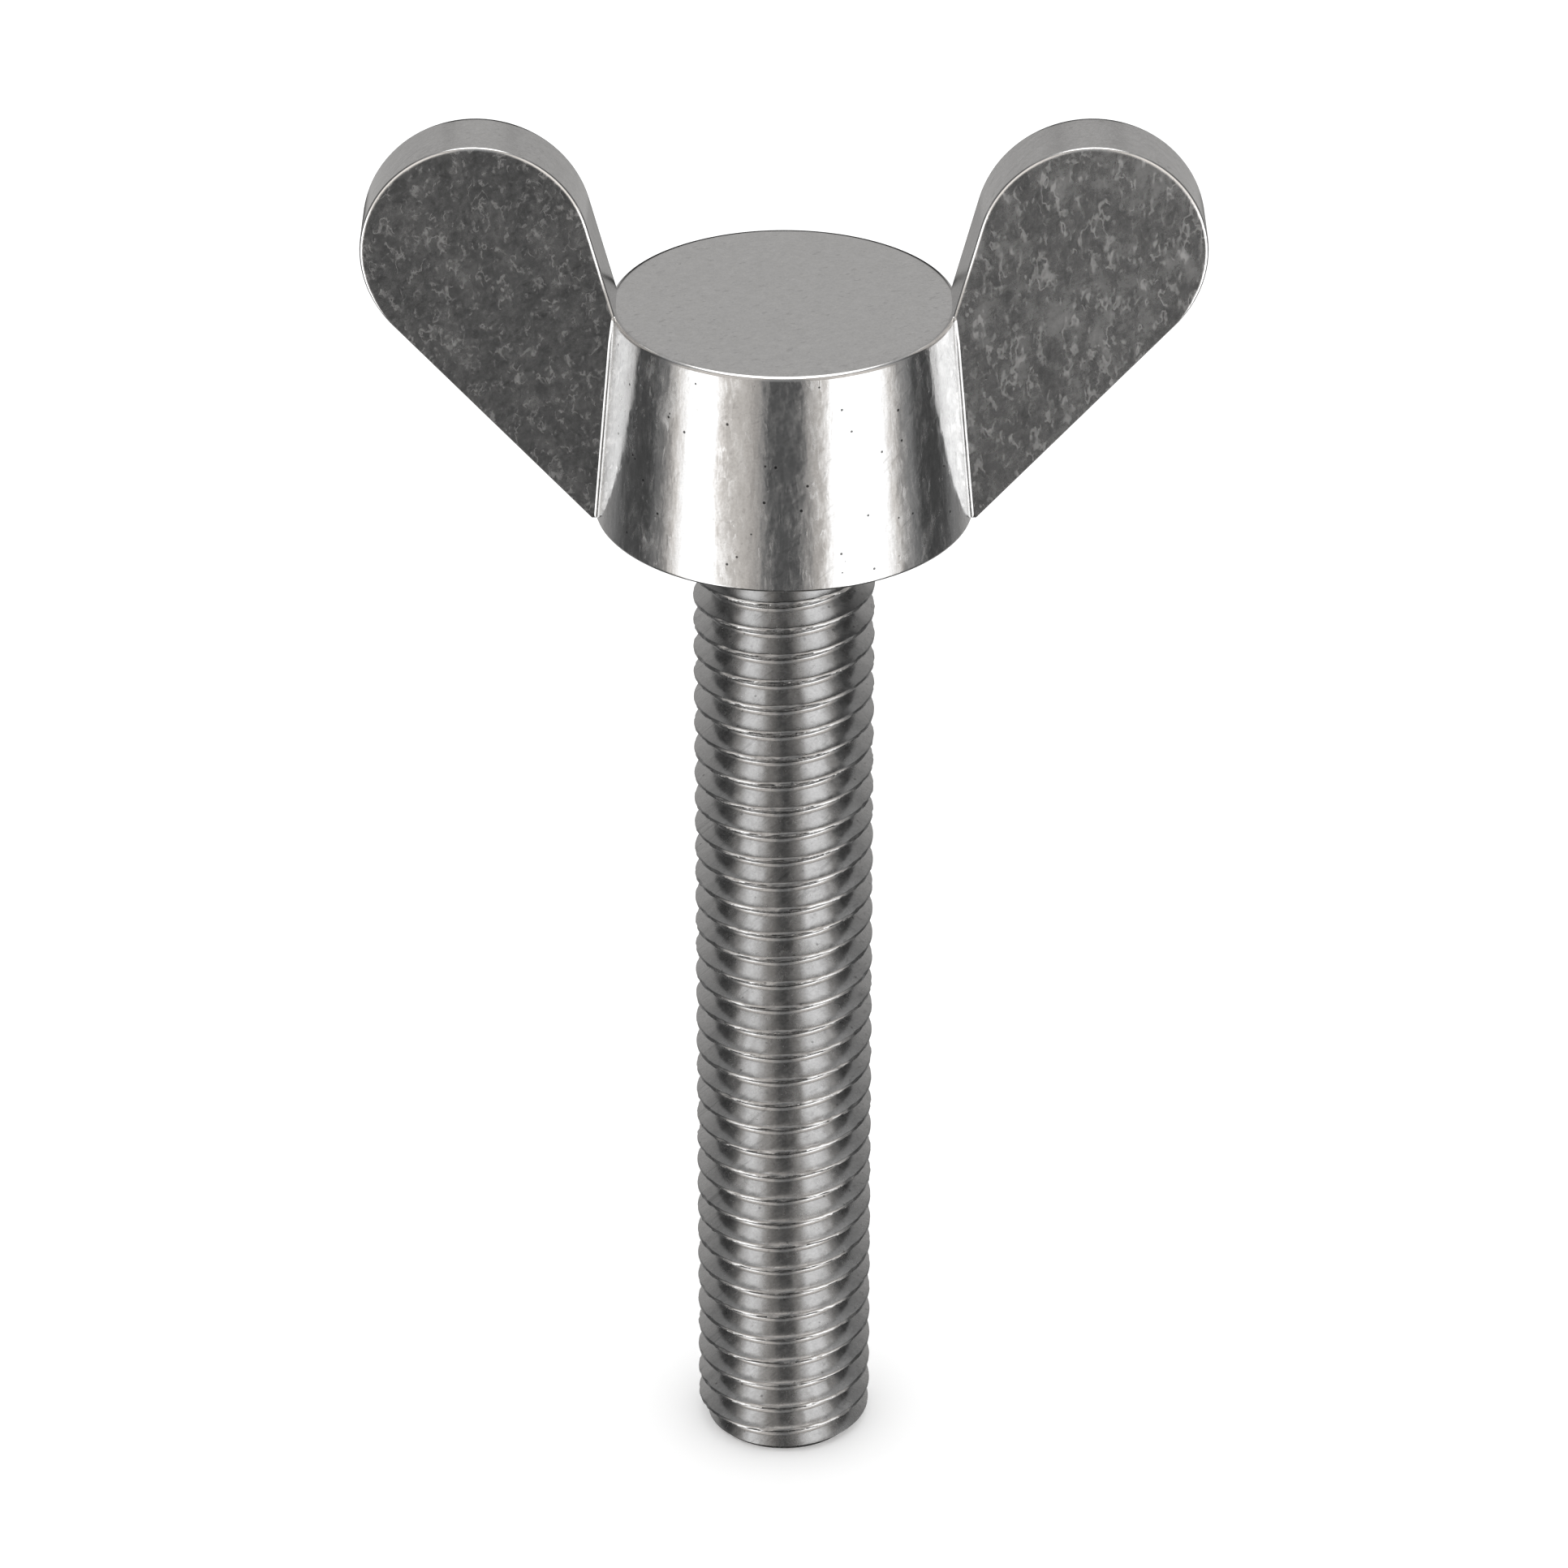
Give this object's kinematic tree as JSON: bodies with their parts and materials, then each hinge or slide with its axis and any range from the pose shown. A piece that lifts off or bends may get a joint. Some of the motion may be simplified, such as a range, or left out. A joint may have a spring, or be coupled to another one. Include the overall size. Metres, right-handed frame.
{
  "type": "wing screw",
  "caption": "Thumb-turned clamping screw: conical hub with two flat upswept wings on a fully threaded stud with a chamfered tip.",
  "frame": {"origin": "centre of the stud's flat tip, which is the bottom centre of the bounding box", "axes": "+Z along the screw's axis from the tip towards the head, +X towards the right wing, wings in the XZ plane"},
  "size_m": [0.0352, 0.0162, 0.0638],
  "materials": {
    "hub_steel": "worn, scuffed steel",
    "wing_steel": "worn steel with fine scratches",
    "stud_steel": "rolled thread, lightly worn steel"
  },
  "bodies": {
    "root": {"hub": "hub_steel", "wing_left": "wing_steel", "wing_right": "wing_steel", "threaded_stud": "stud_steel"}
  },
  "joints": []
}
